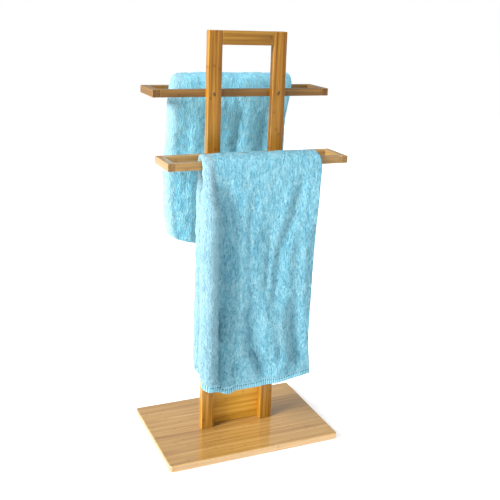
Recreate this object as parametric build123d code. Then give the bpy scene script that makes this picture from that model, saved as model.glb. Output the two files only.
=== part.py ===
from build123d import *
import os

# Free-standing bamboo towel stand with two towel loops and two folded towels.
#
# The origin is on the floor under the middle of the base plate. +X runs along the bars to
# the right, +Y runs to the back, and +Z is up. All sizes are in millimetres.

# Overall size
stand_height = 855

# Base plate and the pads under it
base_width = 376
base_depth = 256
base_thickness = 14
base_corner_radius = 6
pad_radius = 7
pad_thickness = 1.5
pad_inset = 24

# Upright frame: two posts, the rail that joins them at the top, the panel at their foot
frame_width = 164
post_width = 28
post_thickness = 15
post_front = -12
rail_height = 27
panel_width = 148
panel_height = 120
panel_thickness = 15

# Towel loops: each has two long bars between two end pieces of the same section
loop_width = 376
loop_depth = 84
bar_size = 15
lower_loop_top = 619
upper_loop_top = 742

# Edges are eased by these radii
eased_edge = 1.2
base_eased_edge = 2

# Glued dowels
dowel_radius = 3
rail_dowel_length = 30
rail_dowel_spacing = 14
loop_dowel_length = 26
loop_dowel_depth_in_end = 10

# M5 bolts that hold the loops to the posts, and the insert nuts that they turn into
bolt_radius = 2.5
bolt_head_radius = 4
bolt_head_height = 3
bolt_length = 20
bolt_hex_size = 3
bolt_hex_depth = 1.6
bolt_clear_radius = 2.8
counterbore_radius = 4.2
counterbore_depth = 6
nut_radius = 4
nut_length = 10
nut_hole_depth = 12

# Countersunk wood screws
screw_radius = 2.2
screw_head_radius = 4.2
screw_head_height = 2.4
screw_slot_width = 1
screw_slot_depth = 0.8
base_screw_length = 48
panel_screw_length = 26
panel_screw_heights = (62, 108)
panel_screw_x = 64
panel_base_screw_x = 36

# Towels, folded before they are hung: the front one in two, the rear one in four
towel_gap = 0.5
front_towel_width = 252
front_towel_middle_x = -3
front_towel_thickness = 14
front_towel_front_end = 146
front_towel_back_end = 140
rear_towel_width = 266
rear_towel_middle_x = -11
rear_towel_thickness = 23
rear_towel_front_end = 403
rear_towel_back_end = 626

# The front towel's lengthwise fold swells into a soft roll down its left edge
roll_radius = 10
roll_forward = 6.5
roll_taper_top = 600
roll_taper_bottom = 520
roll_top_radius = 4

# Positions that follow from the sizes above
base_top = pad_thickness + base_thickness
post_back = post_front + post_thickness
post_middle_y = post_front + post_thickness / 2
post_middle_x = (frame_width - post_width) / 2
rail_width = frame_width - 2 * post_width
panel_middle_y = post_back + panel_thickness / 2
lower_loop_front = post_front - loop_depth
upper_loop_back = post_back + loop_depth
bar_length = loop_width - 2 * bar_size
lower_bolt_z = lower_loop_top - bar_size / 2
upper_bolt_z = upper_loop_top - bar_size / 2
sides = (-1, 1)


def block(low, high, ease=eased_edge):
    """A rectangular piece of wood between two corners, with eased edges."""
    size = [b - a for a, b in zip(low, high)]
    middle = [(a + b) / 2 for a, b in zip(low, high)]
    return Pos(*middle) * fillet(Box(*size).edges(), ease)


def rod(radius, start, direction, length):
    """A round rod that starts at a point and runs along a direction."""
    plane = Plane(origin=start, z_dir=direction)
    return extrude(plane * Circle(radius), length)


def save(shape, node):
    shape.label = node
    export_step(shape, f"parts/{node}.step")


# Places of the fasteners and dowels: each is a start point and a direction


def loop_bolt_places(seat, direction, height):
    return [((side * post_middle_x, seat, height), direction) for side in sides]


def base_screw_places():
    in_posts = [((side * post_middle_x, post_middle_y, pad_thickness), (0, 0, 1)) for side in sides]
    panel_x = panel_base_screw_x
    in_panel = [((side * panel_x, panel_middle_y, pad_thickness), (0, 0, 1)) for side in sides]
    return in_posts + in_panel


def panel_screw_places():
    back = post_back + panel_thickness
    places = [(side * panel_screw_x, back, height) for side in sides for height in panel_screw_heights]
    return [(place, (0, -1, 0)) for place in places]


def rail_dowel_places():
    start_x = rail_width / 2 - rail_dowel_length / 2
    middle_z = stand_height - rail_height / 2
    heights = [middle_z + side * rail_dowel_spacing / 2 for side in sides]
    return [((side * start_x, post_middle_y, z), (side, 0, 0)) for side in sides for z in heights]


def loop_dowel_places(loop_front, loop_top):
    start_x = bar_length / 2 + loop_dowel_depth_in_end
    rows = (loop_front + bar_size / 2, loop_front + loop_depth - bar_size / 2)
    height = loop_top - bar_size / 2
    return [((side * start_x, y, height), (-side, 0, 0)) for side in sides for y in rows]


# Fasteners and dowels, each made at its place


def dowel(place, length):
    return rod(dowel_radius, *place, length)


def loop_bolt(place):
    """A cap bolt whose head stands on the floor of the counterbore."""
    plane = Plane(origin=place[0], z_dir=place[1])
    shank = extrude(plane * Circle(bolt_radius), bolt_length)
    head = extrude(plane * Circle(bolt_head_radius), -bolt_head_height)
    socket_plane = plane.offset(-bolt_head_height)
    hexagon = socket_plane * RegularPolygon(bolt_hex_size / 2, 6, major_radius=False)
    return shank + head - extrude(hexagon, bolt_hex_depth)


def screw_hole(place, length):
    """The space that a countersunk screw fills, its head's cone included."""
    plane = Plane(origin=place[0], z_dir=place[1])
    cone = Cone(screw_head_radius, screw_radius, screw_head_height)
    head = plane * Pos(0, 0, screw_head_height / 2) * cone
    return head + extrude(plane * Circle(screw_radius), length)


def wood_screw(place, length):
    """A countersunk screw whose head is flush with the surface at its start."""
    plane = Plane(origin=place[0], z_dir=place[1])
    slot = plane * Rectangle(2 * screw_head_radius, screw_slot_width)
    return screw_hole(place, length) - extrude(slot, screw_slot_depth)


def group(solids):
    return Compound(children=list(solids))


# The upper loop's bolts go in from the front of the posts, the lower loop's from the back
upper_bolts = loop_bolt_places(post_front + counterbore_depth, (0, 1, 0), upper_bolt_z)
lower_bolts = loop_bolt_places(post_back - counterbore_depth, (0, -1, 0), lower_bolt_z)
upper_nuts = loop_bolt_places(post_back, (0, 1, 0), upper_bolt_z)
lower_nuts = loop_bolt_places(post_front, (0, -1, 0), lower_bolt_z)


def base_plate():
    outline = fillet(Rectangle(base_width, base_depth).vertices(), base_corner_radius)
    plate = extrude(Pos(0, 0, pad_thickness) * outline, base_thickness)
    rims = plate.faces().sort_by(Axis.Z)
    plate = fillet(rims[0].edges() + rims[-1].edges(), base_eased_edge)
    for place in base_screw_places():
        plate -= screw_hole(place, base_screw_length)
    return plate


def base_pads():
    reach_x = base_width / 2 - pad_inset
    reach_y = base_depth / 2 - pad_inset
    corners = [(x * reach_x, y * reach_y, 0) for x in sides for y in sides]
    return group(rod(pad_radius, corner, (0, 0, 1), pad_thickness) for corner in corners)


def post(side):
    inner = side * (frame_width / 2 - post_width)
    outer = side * frame_width / 2
    low = (min(inner, outer), post_front, base_top)
    high = (max(inner, outer), post_back, stand_height)
    wood = block(low, high)
    bores = [screw_hole(place, base_screw_length) for place in base_screw_places()]
    bores += [screw_hole(place, panel_screw_length) for place in panel_screw_places()]
    bores += [dowel(place, rail_dowel_length) for place in rail_dowel_places()]
    for point, direction in upper_bolts + lower_bolts:
        out = tuple(-d for d in direction)
        bores.append(rod(bolt_clear_radius, point, direction, post_thickness))
        bores.append(rod(counterbore_radius, point, out, counterbore_depth))
    for bore in bores:
        wood -= bore
    return wood


def top_rail():
    low = (-rail_width / 2, post_front, stand_height - rail_height)
    high = (rail_width / 2, post_back, stand_height)
    wood = block(low, high)
    for place in rail_dowel_places():
        wood -= dowel(place, rail_dowel_length)
    return wood


def foot_panel():
    low = (-panel_width / 2, post_back, base_top)
    high = (panel_width / 2, post_back + panel_thickness, base_top + panel_height)
    wood = block(low, high)
    for place in base_screw_places():
        wood -= screw_hole(place, base_screw_length)
    for place in panel_screw_places():
        wood -= screw_hole(place, panel_screw_length)
    return wood


def loop_bar(loop_front, loop_top, row, nuts):
    """A long bar of a loop: row 0 is the front bar and row 1 the back bar."""
    front = loop_front + row * (loop_depth - bar_size)
    low = (-bar_length / 2, front, loop_top - bar_size)
    high = (bar_length / 2, front + bar_size, loop_top)
    wood = block(low, high)
    for place in loop_dowel_places(loop_front, loop_top):
        wood -= dowel(place, loop_dowel_length)
    for place in nuts:
        wood -= rod(nut_radius, *place, nut_hole_depth)
    return wood


def loop_end(loop_front, loop_top, side):
    """An end piece of a loop, as long as the loop is deep."""
    inner = side * bar_length / 2
    outer = side * loop_width / 2
    low = (min(inner, outer), loop_front, loop_top - bar_size)
    high = (max(inner, outer), loop_front + loop_depth, loop_top)
    wood = block(low, high)
    for place in loop_dowel_places(loop_front, loop_top):
        wood -= dowel(place, loop_dowel_length)
    return wood


def insert_nut(place):
    return rod(nut_radius, *place, nut_length) - rod(bolt_radius, *place, nut_length)


def draped_towel(width, middle_x, thickness, bar_front, bar_top, front_end, back_end):
    """A folded towel as one even thickness of cloth that hangs down both sides of a bar."""
    inner_front = bar_front - towel_gap
    inner_back = bar_front + bar_size + towel_gap
    inner_top = bar_top + towel_gap
    outer_front = inner_front - thickness
    outer_back = inner_back + thickness
    outer_top = inner_top + thickness
    outline = [
        (outer_front, front_end),
        (outer_front, outer_top),
        (outer_back, outer_top),
        (outer_back, back_end),
        (inner_back, back_end),
        (inner_back, inner_top),
        (inner_front, inner_top),
        (inner_front, front_end),
    ]
    face = Plane.YZ * make_face(Polyline(*outline, close=True))
    shoulders = face.vertices().filter_by_position(Axis.Z, outer_top - 0.1, outer_top + 0.1)
    face = fillet(shoulders, thickness * 0.8)
    return Pos(middle_x, 0, 0) * extrude(face, width / 2, both=True)


def rolled_edge(left, face_y, end):
    """A round roll that stands proud of a towel's front and thins out towards the bar."""
    place = Pos(left + roll_radius, face_y - roll_forward, 0)
    straight = Cylinder(roll_radius, roll_taper_bottom - end)
    taper_height = roll_taper_top - roll_taper_bottom
    taper = Cone(roll_radius, roll_top_radius, taper_height)
    straight = Pos(0, 0, (roll_taper_bottom + end) / 2) * straight
    taper = Pos(0, 0, roll_taper_bottom + taper_height / 2) * taper
    return place * (straight + taper)


def main():
    os.makedirs("parts", exist_ok=True)
    save(base_plate(), "base_plate")
    save(base_pads(), "base_pads")
    save(post(-1), "left_post")
    save(post(1), "right_post")
    save(top_rail(), "top_rail")
    save(foot_panel(), "foot_panel")
    save(group(dowel(place, rail_dowel_length) for place in rail_dowel_places()), "top_rail_dowels")
    save(group(wood_screw(place, base_screw_length) for place in base_screw_places()), "base_screws")
    panel_screws = [wood_screw(place, panel_screw_length) for place in panel_screw_places()]
    save(group(panel_screws), "foot_panel_screws")

    loops = {
        "lower": (lower_loop_front, lower_loop_top, lower_bolts, lower_nuts, ([], lower_nuts)),
        "upper": (post_back, upper_loop_top, upper_bolts, upper_nuts, (upper_nuts, [])),
    }
    for name, (front, top, bolts, nuts, nuts_of_row) in loops.items():
        for row, place_name in enumerate(("front", "back")):
            save(loop_bar(front, top, row, nuts_of_row[row]), f"{name}_{place_name}_bar")
        for side, side_name in zip(sides, ("left", "right")):
            save(loop_end(front, top, side), f"{name}_{side_name}_end")
        corner_dowels = [dowel(place, loop_dowel_length) for place in loop_dowel_places(front, top)]
        save(group(corner_dowels), f"{name}_loop_dowels")
        save(group(loop_bolt(place) for place in bolts), f"{name}_loop_bolts")
        save(group(insert_nut(place) for place in nuts), f"{name}_loop_insert_nuts")

    front_towel = draped_towel(
        front_towel_width,
        front_towel_middle_x,
        front_towel_thickness,
        lower_loop_front,
        lower_loop_top,
        front_towel_front_end,
        front_towel_back_end,
    )
    rear_towel = draped_towel(
        rear_towel_width,
        rear_towel_middle_x,
        rear_towel_thickness,
        upper_loop_back - bar_size,
        upper_loop_top,
        rear_towel_front_end,
        rear_towel_back_end,
    )
    front_towel += rolled_edge(
        front_towel_middle_x - front_towel_width / 2,
        lower_loop_front - towel_gap - front_towel_thickness,
        front_towel_front_end,
    )
    save(front_towel, "front_towel")
    save(rear_towel, "rear_towel")


main()
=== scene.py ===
import bmesh
import bpy
import math
import numpy as np
from mathutils import Matrix, Vector


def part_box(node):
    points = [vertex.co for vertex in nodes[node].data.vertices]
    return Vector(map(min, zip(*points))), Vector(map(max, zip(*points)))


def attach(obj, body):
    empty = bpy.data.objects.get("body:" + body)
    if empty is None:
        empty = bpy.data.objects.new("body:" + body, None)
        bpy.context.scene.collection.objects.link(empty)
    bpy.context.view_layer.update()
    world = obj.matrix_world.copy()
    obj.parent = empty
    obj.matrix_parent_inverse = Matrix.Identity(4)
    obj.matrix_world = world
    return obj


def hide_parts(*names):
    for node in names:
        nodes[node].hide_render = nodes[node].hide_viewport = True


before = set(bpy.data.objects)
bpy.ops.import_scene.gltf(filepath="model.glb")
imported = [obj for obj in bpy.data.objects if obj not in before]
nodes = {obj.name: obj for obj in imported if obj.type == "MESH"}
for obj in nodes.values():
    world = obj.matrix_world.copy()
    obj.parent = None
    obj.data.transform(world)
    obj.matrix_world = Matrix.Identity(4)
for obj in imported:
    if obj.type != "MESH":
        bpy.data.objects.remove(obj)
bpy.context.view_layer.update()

MM = 0.001


# ---------------------------------------------------------------- meshes and numbers


def ease(value, low, high):
    """0 below low, 1 above high, and smooth between them."""
    share = np.clip((value - low) / (high - low), 0, 1)
    return share * share * (3 - 2 * share)


def grid_faces(rows, columns, first=0, flip=False):
    """The faces of a grid of points whose first point has that index."""
    index = first + np.arange(rows * columns).reshape(rows, columns)
    corners = (index[:-1, :-1], index[:-1, 1:], index[1:, 1:], index[1:, :-1])
    faces = np.stack(corners, -1).reshape(-1, 4)
    return (faces[:, ::-1] if flip else faces).tolist()


def new_object(name, points, faces):
    """A mesh object in the scene, shaded smooth."""
    mesh = bpy.data.meshes.new(name)
    mesh.from_pydata(np.asarray(points).tolist(), [], faces)
    mesh.polygons.foreach_set("use_smooth", [True] * len(mesh.polygons))
    mesh.update()
    piece = bpy.data.objects.new(name, mesh)
    bpy.context.collection.objects.link(piece)
    return piece


# ---------------------------------------------------------------- node building


class Tree:
    """A material's node tree, with short calls for the nodes used here."""

    def __init__(self, name):
        self.material = bpy.data.materials.new(name)
        self.material.use_nodes = True
        self.tree = self.material.node_tree
        self.shader = self.tree.nodes["Principled BSDF"]
        self.place = self.add("ShaderNodeTexCoord")

    def add(self, kind, **settings):
        node = self.tree.nodes.new(kind)
        for key, value in settings.items():
            setattr(node, key, value)
        return node

    def join(self, source, target):
        """Sets a socket to a number or a colour, or links it to another socket."""
        if isinstance(source, bpy.types.NodeSocket):
            self.tree.links.new(source, target)
        else:
            target.default_value = source

    def math(self, operation, a, b=0.0, clamp=False):
        node = self.add("ShaderNodeMath", operation=operation, use_clamp=clamp)
        self.join(a, node.inputs[0])
        self.join(b, node.inputs[1])
        return node.outputs[0]

    def vary(self, value, pattern, amount):
        """value raised and lowered by a pattern that runs from 0 to 1."""
        swing = self.math("MULTIPLY", self.math("SUBTRACT", pattern, 0.5), amount)
        return self.math("ADD", value, swing)

    def lowered(self, value, pattern, amount, clamp=False):
        """value lowered where the pattern is above 0."""
        return self.math("SUBTRACT", value, self.math("MULTIPLY", pattern, amount), clamp)

    def blended(self, a, a_weight, b, b_weight):
        """Two patterns added in those weights."""
        return self.math("ADD", self.math("MULTIPLY", a, a_weight), self.math("MULTIPLY", b, b_weight))

    def axes(self, vector=None):
        node = self.add("ShaderNodeSeparateXYZ")
        self.join(vector or self.place.outputs["Object"], node.inputs[0])
        return node.outputs

    def combine(self, x, y, z):
        node = self.add("ShaderNodeCombineXYZ")
        for value, socket in zip((x, y, z), node.inputs):
            self.join(value, socket)
        return node.outputs[0]

    def drawn_out(self, axes, lengthwise, crosswise):
        """A place for a pattern that is drawn out along the first of the axes."""
        along, side, deep = axes
        crossings = [self.math("MULTIPLY", value, crosswise) for value in (side, deep)]
        return self.combine(self.math("MULTIPLY", along, lengthwise), *crossings)

    def scaled(self, scale, vector=None):
        node = self.add("ShaderNodeVectorMath", operation="MULTIPLY")
        self.join(vector or self.place.outputs["Object"], node.inputs[0])
        node.inputs[1].default_value = scale
        return node.outputs[0]

    def noise(self, vector, scale, detail=2.0, roughness=0.5, distortion=0.0):
        node = self.add("ShaderNodeTexNoise")
        self.join(vector, node.inputs["Vector"])
        node.inputs["Scale"].default_value = scale
        node.inputs["Detail"].default_value = detail
        node.inputs["Roughness"].default_value = roughness
        node.inputs["Distortion"].default_value = distortion
        return node.outputs["Fac"]

    def cells(self, vector, scale, feature="F1"):
        node = self.add("ShaderNodeTexVoronoi", feature=feature)
        self.join(vector, node.inputs["Vector"])
        node.inputs["Scale"].default_value = scale
        return node.outputs["Distance"]

    def chance(self, value):
        """A random number from 0 to 1 for each whole number."""
        node = self.add("ShaderNodeTexWhiteNoise", noise_dimensions="1D")
        self.join(value, node.inputs["W"])
        return node.outputs["Value"]

    def between(self, value, low, high, to_low=0.0, to_high=1.0):
        """value moved smoothly from low..high to to_low..to_high."""
        node = self.add("ShaderNodeMapRange", interpolation_type="SMOOTHSTEP")
        for source, socket in zip((value, low, high, to_low, to_high), node.inputs):
            self.join(source, socket)
        return node.outputs[0]

    def ramp(self, value, stops):
        node = self.add("ShaderNodeValToRGB")
        self.join(value, node.inputs[0])
        elements = node.color_ramp.elements
        while len(elements) < len(stops):
            elements.new(0.5)
        for element, (position, colour) in zip(elements, stops):
            element.position = position
            element.color = (*colour, 1)
        return node.outputs[0]

    def mix(self, share, a, b, blend="MIX"):
        node = self.add("ShaderNodeMix", data_type="RGBA", blend_type=blend)
        self.join(share, node.inputs[0])
        for colour, socket in ((a, node.inputs[6]), (b, node.inputs[7])):
            self.join(colour if isinstance(colour, bpy.types.NodeSocket) else (*colour, 1), socket)
        return node.outputs[2]

    def bump(self, height, distance, strength=1.0, normal=None):
        node = self.add("ShaderNodeBump")
        node.inputs["Strength"].default_value = strength
        node.inputs["Distance"].default_value = distance
        self.join(height, node.inputs["Height"])
        if normal:
            self.join(normal, node.inputs["Normal"])
        return node.outputs[0]

    def finish(self, **values):
        """Sets the shader's own sockets: numbers directly, and patterns by a link."""
        for key, value in values.items():
            self.join(value, self.shader.inputs[key.replace("_", " ")])
        return self.material


# ---------------------------------------------------------------- materials

# The darkest, middle and lightest tone of each lot of bamboo; the panel's, the rail's and the upper
# loop's also carry painted light or shade
POST_TONES = (0.17, 0.060, 0.003), (0.38, 0.168, 0.010), (0.60, 0.320, 0.065)
# Paler bamboo for the panel, raised further as painted light against the shade of its recess
PALE_LIT_PANEL_TONES = (0.42, 0.175, 0.010), (0.66, 0.330, 0.030), (0.80, 0.470, 0.100)
# Painted shade: the rail's tones are the posts' darkened, for the shade at the top of the stand
SHADED_RAIL_TONES = (0.14, 0.052, 0.004), (0.31, 0.142, 0.011), (0.50, 0.280, 0.062)
# Painted shade: the upper loop's tones are darkened for the shade it sits in
SHADED_UPPER_LOOP_TONES = (0.10, 0.042, 0.007), (0.205, 0.098, 0.0165), (0.34, 0.180, 0.046)
LOWER_LOOP_TONES = (0.19, 0.098, 0.025), (0.340, 0.197, 0.062), (0.50, 0.335, 0.150)
BOARD_TONES = (0.31, 0.152, 0.035), (0.47, 0.262, 0.070), (0.62, 0.385, 0.150)
KNUCKLE_SPACING = 0.23
STRIP_WIDTH = 6 * MM
STRIP_STAGGER = 1.7 * MM

# Noise and cell scales in the materials below are in bumps per metre


def bamboo(
    name, grain, across, seed, tones, gloss=0.35, gloss_roughness=0.22, lacquer=1.5, painted_end_shade=0.0
):
    """Lacquered bamboo glued up from narrow strips: grain is the axis along the strips,
    and across is the axis that they lie side by side on. lacquer is its refractive index.
    The last argument is painted shade: how far the tone falls towards the far end of the piece."""
    dark, middle, light = tones
    t = Tree(name)
    place = t.axes()
    grain_axes = [place[axis] for axis in (grain, across, 3 - grain - across)]
    along, side, _ = grain_axes

    strip_place = t.math("DIVIDE", t.math("ADD", side, seed * STRIP_STAGGER), STRIP_WIDTH)
    strip = t.math("FLOOR", strip_place)
    strip_tone = t.chance(t.math("ADD", strip, seed * 7.0))
    strip_shift = t.chance(t.math("ADD", strip, seed * 13.0 + 100.0))
    from_strip_middle = t.math("ABSOLUTE", t.math("SUBTRACT", t.math("FRACT", strip_place), 0.5))
    seam = t.between(from_strip_middle, 0.455, 0.5)

    fibres = t.noise(t.drawn_out(grain_axes, 9.0, 520.0), 1.0, 4.0, 0.62)
    streaks = t.noise(t.drawn_out(grain_axes, 4.0, 130.0), 1.0, 3.0, 0.55, 0.4)
    clouds = t.noise(t.scaled((7.0, 7.0, 7.0)), 1.0, 2.0)

    # A ragged dark knuckle across each strip, at a place of the strip's own
    cycle = t.math("FRACT", t.math("ADD", t.math("DIVIDE", along, KNUCKLE_SPACING), strip_shift))
    off_knuckle = t.math("ABSOLUTE", t.math("SUBTRACT", cycle, 0.5))
    from_knuckle = t.math("MULTIPLY", off_knuckle, KNUCKLE_SPACING)
    knuckle = t.between(t.vary(from_knuckle, fibres, 6 * MM), 0.8 * MM, 4.2 * MM, 1.0, 0.0)

    tone = t.vary(0.5, strip_tone, 0.26)
    tone = t.vary(tone, fibres, 0.75)
    tone = t.vary(tone, streaks, 1.1)
    tone = t.vary(tone, clouds, 0.35)
    tone = t.lowered(tone, knuckle, 0.15)
    # Painted shade: the tone falls towards the far end of the piece
    if painted_end_shade:
        far = t.between(t.axes(t.place.outputs["Generated"])[grain], 0.35, 0.85)
        tone = t.lowered(tone, far, painted_end_shade)
    tone = t.lowered(tone, seam, 0.10, clamp=True)
    colour = t.ramp(tone, [(0.12, dark), (0.5, middle), (0.92, light)])

    # End grain: dark bundles of fibres seen end on
    normal = t.axes(t.place.outputs["Normal"])
    facing_end = t.between(t.math("ABSOLUTE", normal[grain]), 0.75, 0.95)
    bundles = t.cells(t.scaled((900.0, 900.0, 900.0)), 1.0)
    end_dark = tuple(0.7 * value for value in dark)
    end_stops = [(0.1, end_dark), (0.45, dark), (0.75, middle)]
    end_colour = t.ramp(t.blended(bundles, 0.8, strip_tone, 0.25), end_stops)
    colour = t.mix(facing_end, colour, end_colour)

    # Painted highlight: rounded edges made paler, more in some patches than others
    x, y, z = [t.math("ABSOLUTE", value) for value in normal]
    flatness = t.math("MAXIMUM", t.math("MAXIMUM", x, y), z)
    highlight_edge = t.between(flatness, 0.88, 0.995, 1.0, 0.0)
    highlight_patches = t.between(t.noise(t.scaled((60.0, 60.0, 60.0)), 1.0, 2.0), 0.35, 0.65, 0.15, 0.6)
    colour = t.mix(t.math("MULTIPLY", highlight_edge, highlight_patches), colour, light)

    height = t.lowered(t.lowered(t.math("MULTIPLY", fibres, 0.6), seam, 0.8), knuckle, 0.5)
    return t.finish(
        Base_Color=colour,
        Roughness=t.between(t.blended(streaks, 0.6, fibres, 0.4), 0.2, 0.8, 0.34, 0.52),
        Normal=t.bump(height, 0.12 * MM, 0.6),
        Specular_IOR_Level=0.3,
        Coat_Weight=gloss,
        Coat_Roughness=gloss_roughness,
        Coat_IOR=lacquer,
    )


def raw_dowel():
    t = Tree("raw_dowel")
    rings = t.noise(t.scaled((40.0, 700.0, 700.0)), 1.0, 3.0)
    return t.finish(
        Base_Color=t.ramp(rings, [(0.3, (0.46, 0.30, 0.15)), (0.7, (0.68, 0.50, 0.30))]),
        Roughness=t.between(rings, 0.3, 0.7, 0.6, 0.75),
        Normal=t.bump(rings, 0.1 * MM, 0.5),
    )


def plated_steel(name, dark, light):
    t = Tree(name)
    turned = t.noise(t.scaled((900.0, 900.0, 900.0)), 1.0, 3.0)
    smudge = t.noise(t.scaled((180.0, 180.0, 180.0)), 1.0, 2.0)
    colour = t.ramp(smudge, [(0.3, dark), (0.75, light)])
    return t.finish(
        Base_Color=colour,
        Metallic=1.0,
        Roughness=t.between(turned, 0.25, 0.75, 0.28, 0.48),
        Normal=t.bump(turned, 0.03 * MM, 0.5),
    )


def turned_brass():
    t = Tree("turned_brass")
    turned = t.noise(t.scaled((1200.0, 150.0, 1200.0)), 1.0, 3.0)
    return t.finish(
        Base_Color=t.ramp(turned, [(0.3, (0.50, 0.36, 0.13)), (0.7, (0.72, 0.56, 0.26))]),
        Metallic=1.0,
        Roughness=t.between(turned, 0.25, 0.75, 0.25, 0.4),
    )


def foam_rubber():
    t = Tree("foam_rubber")
    pores = t.cells(t.scaled((900.0, 900.0, 900.0)), 1.0)
    return t.finish(
        Base_Color=t.ramp(pores, [(0.1, (0.025, 0.025, 0.025)), (0.8, (0.06, 0.06, 0.06))]),
        Roughness=t.between(pores, 0.0, 0.8, 0.95, 0.8),
        Normal=t.bump(pores, 0.3 * MM, 0.6),
    )


# The deepest, middle and tip tone of each towel's pile, the deepest being painted shade in the
# hollows, and a pale tone painted along the rounded fold as highlight
FRONT_TONES = (0.070, 0.305, 0.435), (0.212, 0.555, 0.705), (0.43, 0.75, 0.84)
REAR_TONES = (0.145, 0.50, 0.72), (0.25, 0.67, 0.85), (0.43, 0.78, 0.88)
ROLL_HIGHLIGHT_TONE = (0.44, 0.56, 0.60)
HEM_RIBS = 1500.0


def plush(name, seed, tones, relief):
    """Long, soft pile that lies downwards, in clumps, with ribbed tape at the hems.
    relief is the height of the pile's bumps in metres."""
    deep, middle, tip = tones
    t = Tree(name)
    shift = t.add("ShaderNodeVectorMath", operation="ADD")
    t.join(t.place.outputs["Object"], shift.inputs[0])
    shift.inputs[1].default_value = (seed * 0.31, seed * 0.17, seed * 0.23)
    place = shift.outputs[0]
    clumps = t.noise(t.scaled((125.0, 125.0, 48.0), place), 1.0, 2.0, 0.5, 0.7)
    tufts = t.noise(t.scaled((330.0, 330.0, 120.0), place), 1.0, 2.0, 0.6, 0.9)
    fibres = t.noise(t.scaled((1200.0, 1200.0, 300.0), place), 1.0, 2.0, 0.6, 0.6)
    clouds = t.noise(t.scaled((30.0, 30.0, 16.0), place), 1.0, 3.0)
    hem = t.add("ShaderNodeAttribute", attribute_name="hem").outputs["Fac"]
    pile = t.math("SUBTRACT", 1.0, hem, clamp=True)

    height = t.math("ADD", t.blended(clumps, 0.55, tufts, 1.0), t.math("MULTIPLY", fibres, 0.40))
    # Painted shade: the pile's colour follows its bump height, darker in the hollows, paler at the
    # tips
    tone = t.math("ADD", t.math("MULTIPLY", t.math("SUBTRACT", height, 0.97), 1.6), 0.5)
    tone = t.vary(tone, clouds, 0.5)
    colour = t.ramp(tone, [(0.08, deep), (0.5, middle), (0.95, tip)])
    # Painted highlight: the pile along the rounded fold is made paler
    fold = t.add("ShaderNodeAttribute", attribute_name="fold").outputs["Fac"]
    colour = t.mix(t.math("MULTIPLY", fold, 0.4), colour, ROLL_HIGHLIGHT_TONE)

    wave = t.math("SINE", t.math("MULTIPLY", t.axes()[0], HEM_RIBS))
    ribs = t.math("MULTIPLY", t.math("ADD", wave, 1.0), 0.5)
    weave = t.blended(ribs, 0.6, tufts, 0.5)
    # Painted shade: the tape is darker between its ribs
    tape = t.ramp(weave, [(0.15, deep), (0.5, middle), (0.95, tip)])
    colour = t.mix(t.between(hem, 0.4, 0.6), colour, tape)
    raised = t.blended(height, pile, t.math("MULTIPLY", weave, hem), 0.4)
    return t.finish(
        Base_Color=colour,
        Roughness=t.between(tufts, 0.3, 0.7, 0.95, 0.8),
        Normal=t.bump(raised, relief, 1.0),
        Specular_IOR_Level=0.2,
        Sheen_Weight=0.3,
        Sheen_Roughness=0.45,
        Sheen_Tint=(0.75, 0.93, 1.0, 1.0),
    )


# Painted shade: the stitch thread is coloured very dark, standing in for the shadow along the hem's
# stitch line
def thread():
    t = Tree("shaded_stitch_thread")
    twist = t.noise(t.scaled((2500.0, 2500.0, 2500.0)), 1.0, 1.0)
    return t.finish(
        Base_Color=t.ramp(twist, [(0.3, (0.015, 0.08, 0.115)), (0.7, (0.04, 0.16, 0.21))]),
        Roughness=t.between(twist, 0.3, 0.7, 0.8, 0.6),
    )


def dress_frame():
    """Gives each CAD node that stays visible its own material."""
    X, Y, Z = 0, 1, 2
    pieces = {
        "left_post": (Z, X, POST_TONES),
        "right_post": (Z, X, POST_TONES),
        "top_rail": (X, Z, SHADED_RAIL_TONES),
        "foot_panel": (X, Z, PALE_LIT_PANEL_TONES),
    }
    for loop, tones in (("lower", LOWER_LOOP_TONES), ("upper", SHADED_UPPER_LOOP_TONES)):
        pieces[f"{loop}_front_bar"] = (X, Z, tones)
        pieces[f"{loop}_back_bar"] = (X, Z, tones)
        pieces[f"{loop}_left_end"] = (Y, X, tones)
        pieces[f"{loop}_right_end"] = (Y, X, tones)
    paint = {}
    for seed, (node, (grain, across, tones)) in enumerate(pieces.items(), 1):
        # Painted shade: the posts darken towards the top
        painted_end_shade = 0.15 if grain == Z else 0.0
        paint[node] = bamboo(f"bamboo_{node}", grain, across, seed, tones, painted_end_shade=painted_end_shade)
    paint["base_plate"] = bamboo(
        "bamboo_base_plate", X, Y, 17, BOARD_TONES, gloss=1.0, gloss_roughness=0.10, lacquer=1.9
    )
    steel = plated_steel("blackened_steel", (0.035, 0.028, 0.022), (0.08, 0.065, 0.05))
    bronze = plated_steel("bronzed_steel", (0.22, 0.145, 0.07), (0.42, 0.29, 0.15))
    brass, wood = turned_brass(), raw_dowel()
    for loop in ("lower", "upper"):
        paint[f"{loop}_loop_bolts"] = bronze
        paint[f"{loop}_loop_insert_nuts"] = brass
        paint[f"{loop}_loop_dowels"] = wood
    paint["base_screws"] = steel
    paint["foot_panel_screws"] = steel
    paint["top_rail_dowels"] = wood
    paint["base_pads"] = foam_rubber()
    for node, material in paint.items():
        for slot in nodes[node].material_slots:
            slot.material = material


dress_frame()


# ---------------------------------------------------------------- floor, light and camera


FLOOR_HALF = 4.0
FLOOR_STEPS = 8


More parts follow.
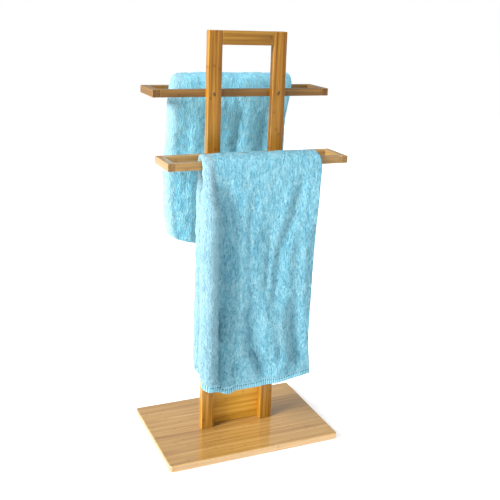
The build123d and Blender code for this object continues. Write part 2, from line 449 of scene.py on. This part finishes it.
def make_floor():
    line = np.linspace(-FLOOR_HALF, FLOOR_HALF, FLOOR_STEPS + 1)
    x, y = np.meshgrid(line, line)
    points = np.stack([x, y, 0 * x], -1).reshape(-1, 3)
    floor = new_object("floor", points, grid_faces(len(line), len(line)))
    t = Tree("pale_floor")
    clouds = t.noise(t.scaled((3.0, 3.0, 3.0)), 1.0, 2.0)
    t.finish(
        Base_Color=t.ramp(clouds, [(0.3, (0.86, 0.86, 0.86)), (0.7, (0.89, 0.89, 0.89))]),
        Roughness=0.9,
        Specular_IOR_Level=0.1,
        Emission_Color=(1, 1, 1, 1),
        Emission_Strength=0.5,
    )
    floor.data.materials.append(t.material)


def add_light(name, kind, power, towards):
    """A lamp at the origin that shines along a direction."""
    data = bpy.data.lights.new(name, kind)
    data.energy = power
    light = bpy.data.objects.new(name, data)
    light.rotation_euler = Vector(towards).to_track_quat("-Z", "Y").to_euler()
    bpy.context.collection.objects.link(light)
    return light


def sun_light(name, place, spread, strength):
    """Light from the direction of place; spread is the width in degrees of its bright patch."""
    light = add_light(name, "SUN", strength, -Vector(place))
    light.data.angle = math.radians(spread)


def spot_light(name, place, target, cone, radius, power):
    """A soft cone of light; cone is its width in degrees, and radius is the lamp's own."""
    light = add_light(name, "SPOT", power, Vector(target) - Vector(place))
    light.location = place
    light.data.spot_size = math.radians(cone)
    light.data.spot_blend = 1
    light.data.shadow_soft_size = radius


def make_sky(fill, seen):
    """Even white light from all round; the camera sees it brighter than it shines."""
    world = bpy.data.worlds.new("studio")
    world.use_nodes = True
    tree = world.node_tree
    shine = tree.nodes["Background"]
    shine.inputs["Color"].default_value = (1, 1, 1, 1)
    shine.inputs["Strength"].default_value = fill
    view = tree.nodes.new("ShaderNodeBackground")
    view.inputs["Color"].default_value = (1, 1, 1, 1)
    view.inputs["Strength"].default_value = seen
    path = tree.nodes.new("ShaderNodeLightPath")
    mix = tree.nodes.new("ShaderNodeMixShader")
    tree.links.new(path.outputs["Is Camera Ray"], mix.inputs[0])
    tree.links.new(shine.outputs[0], mix.inputs[1])
    tree.links.new(view.outputs[0], mix.inputs[2])
    tree.links.new(mix.outputs[0], tree.nodes["World Output"].inputs["Surface"])
    bpy.context.scene.world = world


def make_camera(place, turn, tilt, roll, lens, shift):
    """turn is to the right of +Y and tilt is down, in degrees."""
    data = bpy.data.cameras.new("camera")
    data.lens = lens
    data.sensor_width = 36
    data.shift_x, data.shift_y = shift
    data.clip_end = 50
    camera = bpy.data.objects.new("camera", data)
    heading = Matrix.Rotation(math.radians(-turn), 4, "Z")
    aim = heading @ Matrix.Rotation(math.radians(90 - tilt), 4, "X")
    tipped = aim @ Matrix.Rotation(math.radians(roll), 4, "Z")
    camera.matrix_world = Matrix.Translation(place) @ tipped
    bpy.context.collection.objects.link(camera)
    bpy.context.scene.camera = camera


make_floor()
make_sky(fill=0.53, seen=1.0)
sun_light("key_left", place=(-0.87, -0.21, 0.45), spread=24, strength=6.0)
spot_light(
    "left_fill",
    place=(-1.35, -1.45, 1.35),
    target=(-0.17, 0.03, 0.57),
    cone=15,
    radius=0.25,
    power=110,
)
make_camera(
    place=(-0.6284, -1.497, 0.920),
    turn=25.21,
    tilt=14.98,
    roll=2.45,
    lens=58.75,
    shift=(-0.0493, -0.0686),
)
bpy.context.scene.view_settings.view_transform = "Standard"
bpy.context.scene.view_settings.look = "None"

# ---------------------------------------------------------------- towels


LUMP_PERIOD = 61
# Where in the endless pattern of lumps the towels' surfaces lie, in metres
LUMPS_FROM = 5


def lumps(points, size, seed):
    """Smooth random bumps from -1 to 1 with lumps of about that size, at an array of points.
    They repeat after LUMP_PERIOD lumps each way."""
    corners = np.random.default_rng(seed).uniform(-1, 1, [LUMP_PERIOD] * 3)
    place = points / size
    cell = np.floor(place).astype(int)
    share = place - cell
    share = share * share * (3 - 2 * share)
    total = np.zeros(points.shape[:-1])
    for corner in np.ndindex(2, 2, 2):
        weight = np.ones(points.shape[:-1])
        for axis in range(3):
            weight = weight * (share[..., axis] if corner[axis] else 1 - share[..., axis])
        index = [(cell[..., axis] + corner[axis]) % LUMP_PERIOD for axis in range(3)]
        total += weight * corners[index[0], index[1], index[2]]
    return total


BAR_GAP = 0.8 * MM
SETTLING_STEP = 6 * MM
FURTHEST_SETTLING = 4 * MM


class Towel:
    """A towel that is folded and then hung over a bar.

    The folded towel is followed by its middle surface: across runs from its left edge to
    its right edge, and along runs from its front end, up over the bar, to its back end.
    left and right give each edge's place along X at distances below the crest. sag gives
    how far each share of the width hangs down, and is negative where the towel is drawn up.
    A fold is its side of the bar, its places across at distances below the crest, its reach
    across, and how far it stands out, negative for a furrow.
    """

    def __init__(
        self,
        name,
        cloth,
        hairpins,
        doubled,
        spacing,
        bar,
        front_end,
        back_end,
        left,
        right,
        skew,
        sag,
        folds,
        roll,
        seed,
    ):
        self.name = name
        self.cloth = cloth
        self.hairpins = hairpins
        self.doubled = doubled
        self.spacing = spacing
        self.folds = folds
        self.left = left
        self.right = right
        self.skew = skew
        self.sag = sag
        self.roll = roll
        self.seed = seed
        self.width = cloth[0] / 2
        self.half = spacing * hairpins
        clearance = self.half + BAR_GAP
        self.bar_low, self.bar_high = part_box(bar)
        self.front = self.bar_low[1] - clearance
        self.back = self.bar_high[1] + clearance
        self.crest = self.bar_high[2] + clearance
        self.bend = min(clearance + 3 * MM, (self.back - self.front) / 2)
        self.front_drop = self.crest - self.bend - front_end
        self.back_drop = self.crest - self.bend - back_end
        self.over = math.pi * self.bend + (self.back - self.front) - 2 * self.bend
        self.length = self.front_drop + self.over + self.back_drop

    def path(self, along):
        """Depth, height and outward depth of the middle surface along the towel."""
        arc = math.pi * self.bend / 2
        flat = self.back - self.front - 2 * self.bend
        up = along - self.front_drop
        first = np.clip(up / arc, 0, 1) * math.pi / 2
        level = np.clip(up - arc, 0, flat)
        second = np.clip((up - arc - flat) / arc, 0, 1) * math.pi / 2
        rise = np.minimum(along, self.front_drop)
        fall = np.maximum(up - self.over, 0)
        inward = self.bend * (1 - np.cos(first))
        depth = self.front + inward + level + self.bend * np.sin(second)
        climb = self.bend * np.sin(first)
        descent = self.bend * (1 - np.cos(second))
        height = self.crest - self.bend - self.front_drop + rise + climb - descent - fall
        return depth, height, -np.cos(first + second)

    def start(self, across, along):
        """The middle surface as it is laid over the bar, with its folds begun."""
        depth, height, out_depth = self.path(along)
        drop = np.maximum(self.crest - height, 0)
        share = across / self.width
        on_front = 1 - ease(along, self.front_drop, self.front_drop + self.over)
        left = np.interp(drop, *self.left) + self.skew * (1 - on_front)
        right = np.interp(drop, *self.right)
        x = left + share * (right - left)
        low = ease(drop, 0.03, 0.25)
        height = height - low * np.interp(share, *self.sag) * (0.4 * on_front + 0.6)
        out = np.zeros_like(x)
        for side, (drops, places), reach, lift in self.folds:
            centre = np.interp(drop, drops, places)
            begun = ease(drop, drops[0] - 0.03, drops[0] + 0.04)
            inside = begun * (1 - ease(drop, drops[-1] - 0.02, drops[-1] + 0.05))
            weight = on_front if side == "front" else 1 - on_front
            out += lift * inside * weight * np.exp(-(((across - centre) / reach) ** 2))
        edge = ease(across, self.width - 0.03, self.width)
        out -= 6 * MM * edge * low
        return np.stack([x, depth + out * out_depth, height], -1)

    def hang(self):
        """Lets the middle surface settle under gravity, and keeps its resting shape."""
        across = np.linspace(0, self.width, round(self.width / SETTLING_STEP) + 1)
        along = np.linspace(0, self.length, round(self.length / SETTLING_STEP) + 1)
        grid_across, grid_along = np.meshgrid(across, along)
        self.middle = self.start(grid_across, grid_along)
        self.middle = settle(self, grid_along, self.middle)

    def surface(self, across, along):
        """Points and outward directions of the resting middle surface."""
        small = 3 * MM

        def at(more_across, more_along):
            row_share = (along + more_along) / self.length
            return cubic(self.middle, row_share, (across + more_across) / self.width)

        out = np.cross(at(small, 0) - at(-small, 0), at(0, small) - at(0, -small))
        return at(0, 0), out / np.linalg.norm(out, axis=-1, keepdims=True)


def cubic(grid, row_share, column_share):
    """Smooth values of a grid of points at places given from 0 to 1 each way."""

    def parts(share, count):
        place = np.clip(share, -0.02, 1.02) * (count - 1)
        cell = np.clip(np.floor(place).astype(int), 0, count - 2)
        t = place - cell
        weights = [
            -0.5 * t + t**2 - 0.5 * t**3,
            1 - 2.5 * t**2 + 1.5 * t**3,
            0.5 * t + 2 * t**2 - 1.5 * t**3,
            -0.5 * t**2 + 0.5 * t**3,
        ]
        return [cell + k for k in range(4)], weights

    wide = np.vstack([2 * grid[:1] - grid[1:2], grid, 2 * grid[-1:] - grid[-2:-1]])
    before = 2 * wide[:, :1] - wide[:, 1:2]
    after = 2 * wide[:, -1:] - wide[:, -2:-1]
    padded = np.hstack([before, wide, after])
    rows, row_weights = parts(row_share, grid.shape[0])
    columns, column_weights = parts(column_share, grid.shape[1])
    total = 0
    for row, row_weight in zip(rows, row_weights):
        for column, column_weight in zip(columns, column_weights):
            total = total + (row_weight * column_weight)[..., None] * padded[row, column]
    return total


def smoothed(field, passes):
    """A grid of values, each averaged with its neighbours that many times."""
    for _ in range(passes):
        wide = np.pad(field, ((1, 1), (1, 1), (0, 0)), mode="edge")
        beside = wide[1:-1, :-2] + wide[1:-1, 2:] + wide[:-2, 1:-1] + wide[2:, 1:-1]
        field = (2 * field + beside) / 6
    return field


def settling_bar(towel):
    """The block that the middle surface lies on: the bar and half of the towel round it."""
    spare = towel.half
    low = np.array(towel.bar_low) - (0, spare, spare)
    high = np.array(towel.bar_high) + (0, spare, 0)
    xs, ys, zs = zip(low, high)
    corners = [(x, y, z) for x in xs for y in ys for z in zs]
    ends = [(0, 1, 3, 2), (4, 6, 7, 5)]
    sides = [(0, 4, 5, 1), (2, 3, 7, 6), (0, 2, 6, 4), (1, 5, 7, 3)]
    bar = new_object("settling_bar", corners, ends + sides)
    bar.modifiers.new("Collision", "COLLISION")
    bar.collision.thickness_outer = 0.5 * MM
    bar.collision.thickness_inner = 4 * MM
    return bar


def settle(towel, grid_along, shape, frames=26):
    """Runs a cloth simulation of the towel's middle surface over its bar."""
    rows, columns = grid_along.shape
    sheet = new_object("settling", shape.reshape(-1, 3), grid_faces(rows, columns))
    held = sheet.vertex_groups.new(name="held")
    from_bar = grid_along - towel.front_drop
    over = (from_bar > -4 * MM) & (from_bar < towel.over + 4 * MM)
    held.add(np.flatnonzero(over.reshape(-1)).tolist(), 1.0, "REPLACE")
    bar = settling_bar(towel)

    cloth = sheet.modifiers.new("Cloth", "CLOTH")
    rules = cloth.settings
    rules.quality = 6
    rules.mass = 0.35
    rules.tension_stiffness = 25
    rules.compression_stiffness = 25
    rules.shear_stiffness = 12
    rules.bending_stiffness = 4
    rules.air_damping = 2
    rules.vertex_group_mass = "held"
    cloth.collision_settings.distance_min = 1 * MM
    cloth.point_cache.frame_start = 1
    cloth.point_cache.frame_end = frames
    scene = bpy.context.scene
    for number in range(1, frames + 1):
        scene.frame_set(number)
    settled = sheet.evaluated_get(bpy.context.evaluated_depsgraph_get())
    places = np.empty(rows * columns * 3)
    settled.data.vertices.foreach_get("co", places)
    scene.frame_set(1)
    for spare_object in (sheet, bar):
        bpy.data.objects.remove(spare_object)
    move = smoothed(places.reshape(rows, columns, 3) - shape, 4)
    length = np.linalg.norm(move, axis=-1, keepdims=True)
    return shape + move * np.minimum(1, FURTHEST_SETTLING / np.maximum(length, 1e-9))


def fine_near(length, step, marks, small, reach):
    """Places along a length, a step apart, and closer together near each mark."""
    places = [0.0]
    while places[-1] < length:
        nearest = min(abs(places[-1] - mark) for mark in marks)
        share = ease(np.array(nearest), 0, reach)
        places.append(places[-1] + small + (step - small) * float(share))
    return np.array(places) * length / places[-1]


# The cloth's half thickness in the pile and at the hem, and the dip along the hem's stitches
PILE_HALF = 3.0 * MM
HEM_HALF = 2.2 * MM
SEAM_DIP = 1.1 * MM
HEM_HEIGHT = 13 * MM

STITCH_HEIGHT = 10.5 * MM
STITCH_PITCH = 6 * MM
STITCH_LENGTH = 4.2 * MM
STITCH_RADIUS = 0.9 * MM
STITCH_SIDES = 6
# Along a stitch: share of its length, height of its middle and thickness, both in radii
STITCH_RINGS = (0, -0.4, 0.2), (0.15, 0.1, 0.8), (0.5, 0.3, 1), (0.85, 0.1, 0.8), (1, -0.4, 0.2)

# Steps between the cloth's points, away from its edges and folds and right at them, and how
# far from them the steps grow
CLOTH_STEP = 3.8 * MM
EDGE_STEP = 0.7 * MM
EDGE_REACH = 14 * MM

# How far beyond the rounded left edge the two halves of a towel take to lie flat
ROLL_FADE = 14 * MM


def folded_across(towel, grid_v):
    """Layer and place along of each row of a sheet that is first doubled, its fold in front."""
    full_length = towel.cloth[1]
    bend = towel.spacing / 2
    before_bend = full_length / 2 - math.pi * bend / 2
    past = np.clip((grid_v - before_bend) / (math.pi * bend), 0, 1)
    layer = (1 - np.cos(past * math.pi)) / 2
    straight = np.where(grid_v < full_length / 2, grid_v, full_length - grid_v)
    bent = before_bend + bend * np.sin(past * math.pi)
    from_back = np.where((past > 0) & (past < 1), bent, straight)
    shrink = towel.length / (full_length / 2 + bend - math.pi * bend / 2)
    return layer, towel.length - from_back * shrink


def hairpin(towel, off, roll, base, inset):
    """A layer of cloth folded lengthwise: how far in from the towel's left edge it is, and how
    far out from the middle surface. base is its distance out where it lies flat, inset is how
    far inside the outermost layer it is, and roll is the radius of the rounded left edge."""
    radius = np.maximum(roll - inset, base)
    angle = np.clip(off / radius, -math.pi / 2, math.pi / 2)
    beyond = np.abs(off) - np.abs(angle) * radius
    inward = radius * (1 - np.cos(angle)) + np.maximum(beyond, 0)
    longest = towel.cloth[0] / 2 - (math.pi / 2 - 1) * radius
    inward = inset + inward * (towel.width - inset) / longest
    fade = 1 - ease(inward, inset + radius, inset + radius + ROLL_FADE)
    spread = base + (radius - base) * fade
    lean = 0.75 * (radius - base) * fade
    turning = np.abs(angle) < math.pi / 2
    side = np.where(turning, -np.sin(angle) * radius, -np.sign(off) * spread)
    return inward, side + lean


def cloth_grid(towel):
    """Centre points of the whole sheet of cloth, folded round the middle surface."""
    full_width, full_length = towel.cloth
    across_marks = (0, full_width / 2, full_width)
    along_marks = (0, full_length / 2, full_length) if towel.doubled else (0, full_length)
    u = fine_near(full_width, CLOTH_STEP, across_marks, EDGE_STEP, EDGE_REACH)
    v = fine_near(full_length, CLOTH_STEP, along_marks, EDGE_STEP, EDGE_REACH)
    grid_u, grid_v = np.meshgrid(u, v)
    if towel.doubled:
        layer, along = folded_across(towel, grid_v)
    else:
        layer, along = np.zeros_like(grid_v), grid_v * towel.length / full_length

    _, height, _ = towel.path(along)
    drop = np.maximum(towel.crest - height, 0)
    outer = towel.spacing * (towel.hairpins - 0.5)
    roll = outer + (towel.roll - outer) * ease(drop, 0.02, 0.11)
    off = grid_u - full_width / 2
    inward, offset = hairpin(towel, off, roll, outer, 0)
    if towel.hairpins == 2:
        inner = hairpin(towel, off, roll, towel.spacing * 0.5, towel.spacing)
        inward = inward + (inner[0] - inward) * layer
        offset = offset + (inner[1] - offset) * layer
    point, out = towel.surface(inward, along)
    return grid_u, grid_v, point + out * offset[..., None]


def outward(centre):
    """The direction out of a grid of points at each of them."""
    out = np.cross(np.gradient(centre, axis=1), np.gradient(centre, axis=0))
    return out / np.linalg.norm(out, axis=-1, keepdims=True)


def mark_points(piece, name, values):
    """Stores a value on each point of both faces of a piece, for its material to read."""
    attribute = piece.data.attributes.new(name, "FLOAT", "POINT")
    attribute.data.foreach_set("value", np.concatenate([values.reshape(-1)] * 2))


def join_rim(piece):
    """Joins the two faces at the edges of the cloth, where its thickness is nothing."""
    mesh = bmesh.new()
    mesh.from_mesh(piece.data)
    rim = [vert for vert in mesh.verts if vert.is_boundary]
    bmesh.ops.remove_doubles(mesh, verts=rim, dist=0.02 * MM)
    mesh.to_mesh(piece.data)
    mesh.free()


def make_towel(towel, material):
    """The folded sheet of cloth as one closed slab with pile on both faces."""
    towel.hang()
    grid_u, grid_v, centre = cloth_grid(towel)
    out = outward(centre)

    full_width, full_length = towel.cloth
    from_side = np.minimum(grid_u, full_width - grid_u)
    from_end = np.minimum(grid_v, full_length - grid_v)
    hem = 1 - ease(from_end, HEM_HEIGHT - 1 * MM, HEM_HEIGHT + 2 * MM)
    half = HEM_HALF + (PILE_HALF - HEM_HALF) * (1 - hem)
    half = half - SEAM_DIP * np.exp(-(((from_end - STITCH_HEIGHT) / (1.6 * MM)) ** 2))
    edge = np.minimum(np.minimum(from_side, from_end) / half, 1)
    half = half * np.sqrt(np.maximum(1 - (1 - edge) ** 2, 0.0))

    sides = []
    for sign, seed in ((1, towel.seed), (-1, towel.seed + 1)):
        surface = centre + sign * half[..., None] * out
        among_lumps = surface + LUMPS_FROM
        tufts = 1.1 * MM * lumps(among_lumps, 11 * MM, seed)
        rough = (tufts + 0.6 * MM * lumps(among_lumps, 6.5 * MM, seed + 7)) * (1 - hem) * edge
        sides.append((surface + sign * rough[..., None] * out).reshape(-1, 3))
    rows, columns = grid_u.shape
    faces = grid_faces(rows, columns) + grid_faces(rows, columns, rows * columns, flip=True)
    piece = new_object(towel.name + "_cloth", np.concatenate(sides), faces)
    mark_points(piece, "hem", hem)
    # Where the painted highlight along the rounded fold goes
    mark_points(piece, "fold", 1 - ease(np.abs(grid_u - full_width / 2), 16 * MM, 28 * MM))
    join_rim(piece)
    piece.data.materials.append(material)
    return piece


def stitch(rings, first):
    """Points and faces of one stitch: a tube through its rings, closed at both ends."""
    forward = rings[-1][0] - rings[0][0]
    forward /= np.linalg.norm(forward)
    points, faces = [], []
    for middle, away, thickness in rings:
        beside = np.cross(forward, away)
        for turn in np.linspace(0, 2 * math.pi, STITCH_SIDES, endpoint=False):
            radius = math.cos(turn) * away + math.sin(turn) * beside
            points.append(middle + thickness * STITCH_RADIUS * radius)
    starts = [first + STITCH_SIDES * number for number in range(len(rings))]
    for low, high in zip(starts, starts[1:]):
        for k in range(STITCH_SIDES):
            after = (k + 1) % STITCH_SIDES
            faces.append([low + k, low + after, high + after, high + k])
    faces.append([starts[0] + k for k in reversed(range(STITCH_SIDES))])
    faces.append([starts[-1] + k for k in range(STITCH_SIDES)])
    return points, faces


def value_at(place, marks, values):
    """The point or direction at a place along a row of them."""
    return np.array([np.interp(place, marks, values[:, axis]) for axis in range(3)])


def make_stitches(towel, material):
    """A line of small thread stitches along each hem, on both faces of the cloth."""
    grid_u, grid_v, centre = cloth_grid(towel)
    out = outward(centre)
    full_width, full_length = towel.cloth
    points, faces = [], []
    for line in (STITCH_HEIGHT, full_length - STITCH_HEIGHT):
        row = int(np.argmin(np.abs(grid_v[:, 0] - line)))
        for number in range(round(full_width / STITCH_PITCH) - 1):
            start = (number + 0.7) * STITCH_PITCH
            for side in (1, -1):
                rings = []
                for share, lift, thickness in STITCH_RINGS:
                    place = start + share * STITCH_LENGTH
                    away = value_at(place, grid_u[row], out[row])
                    level = side * (HEM_HALF - SEAM_DIP + lift * STITCH_RADIUS)
                    middle = value_at(place, grid_u[row], centre[row]) + level * away
                    rings.append((middle, side * away, thickness))
                tube_points, tube_faces = stitch(rings, len(points))
                points += tube_points
                faces += tube_faces
    piece = new_object(towel.name + "_stitches", points, faces)
    piece.data.materials.append(material)
    return piece


front_plush = plush("front_plush", 3, FRONT_TONES, 7 * MM)
rear_plush = plush("rear_plush", 5, REAR_TONES, 4.5 * MM)

front_towel = Towel(
    name="front_towel",
    cloth=(0.52, 1.0),
    hairpins=1,
    doubled=False,
    spacing=6.6 * MM,
    bar="lower_front_bar",
    front_end=0.146,
    back_end=0.160,
    left=([0.0, 0.05, 0.3, 0.44, 0.5], [-0.121, -0.120, -0.119, -0.120, -0.112]),
    right=(
        [0.0, 0.006, 0.015, 0.03, 0.05, 0.16, 0.29, 0.385, 0.44, 0.49],
        [0.116, 0.1205, 0.1235, 0.1245, 0.123, 0.118, 0.116, 0.116, 0.120, 0.126],
    ),
    skew=0.002,
    sag=(
        [0.0, 0.02, 0.046, 0.08, 0.12, 0.16, 0.2, 0.25, 0.3, 0.46, 0.61, 0.76, 0.91, 1.0],
        [-0.042, -0.033, -0.023, -0.014, -0.006, 0.0, 0.002, 0.0]
        + [-0.004, -0.005, -0.006, -0.009, -0.012, -0.012],
    ),
    folds=[
        ("front", ([0.02, 0.12, 0.30, 0.49], [0.008, 0.012, 0.013, 0.014]), 0.009, 0.009),
        ("front", ([0.06, 0.12, 0.26, 0.33], [0.050, 0.052, 0.056, 0.050]), 0.022, -0.020),
        ("front", ([0.30, 0.46], [0.043, 0.043]), 0.010, -0.014),
        ("front", ([0.38, 0.45], [0.069, 0.072]), 0.008, -0.006),
        ("front", ([0.10, 0.30, 0.36, 0.45], [0.118, 0.118, 0.150, 0.180]), 0.026, 0.008),
        ("front", ([0.04, 0.12, 0.20, 0.30], [0.219, 0.202, 0.172, 0.165]), 0.015, -0.007),
        ("front", ([0.28, 0.33, 0.40, 0.44], [0.110, 0.114, 0.122, 0.150]), 0.018, -0.016),
        ("front", ([0.31, 0.43], [0.216, 0.226]), 0.018, -0.016),
        ("front", ([0.16, 0.28], [0.150, 0.142]), 0.008, -0.005),
        ("back", ([0.08, 0.45], [0.070, 0.080]), 0.022, -0.009),
        ("back", ([0.10, 0.46], [0.180, 0.165]), 0.025, -0.008),
        ("back", ([0.28, 0.46], [0.120, 0.135]), 0.012, 0.007),
    ],
    roll=12 * MM,
    seed=11,
)
rear_towel = Towel(
    name="rear_towel",
    cloth=(0.52, 1.0),
    hairpins=2,
    doubled=True,
    spacing=6.0 * MM,
    bar="upper_back_bar",
    front_end=0.408,
    back_end=0.634,
    left=([0.0, 0.03, 0.10, 0.22, 0.30, 0.36], [-0.134, -0.138, -0.141, -0.148, -0.146, -0.136]),
    right=([0.0, 0.026, 0.05, 0.08, 0.36], [0.128, 0.124, 0.119, 0.113, 0.108]),
    skew=0.026,
    sag=([0.0, 0.1, 0.3, 0.6, 1.0], [-0.036, -0.022, -0.006, 0.006, 0.002]),
    folds=[
        ("front", ([0.03, 0.20, 0.34], [0.020, 0.024, 0.026]), 0.015, 0.003),
        ("front", ([0.05, 0.20, 0.34], [0.085, 0.075, 0.070]), 0.020, -0.005),
        ("front", ([0.04, 0.14, 0.30], [0.160, 0.150, 0.155]), 0.014, -0.007),
        ("front", ([0.04, 0.20], [0.215, 0.200]), 0.012, -0.006),
        ("back", ([0.04, 0.12], [0.120, 0.130]), 0.030, -0.004),
    ],
    roll=11 * MM,
    seed=23,
)
shaded_stitch_thread = thread()
for towel, body, bar, pile in (
    (front_towel, "front_cloth", "lower_front_bar", front_plush),
    (rear_towel, "rear_cloth", "upper_back_bar", rear_plush),
):
    piece = make_towel(towel, pile)
    stitches = make_stitches(towel, shaded_stitch_thread)
    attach(piece, body)
    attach(stitches, body)
    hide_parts(towel.name)
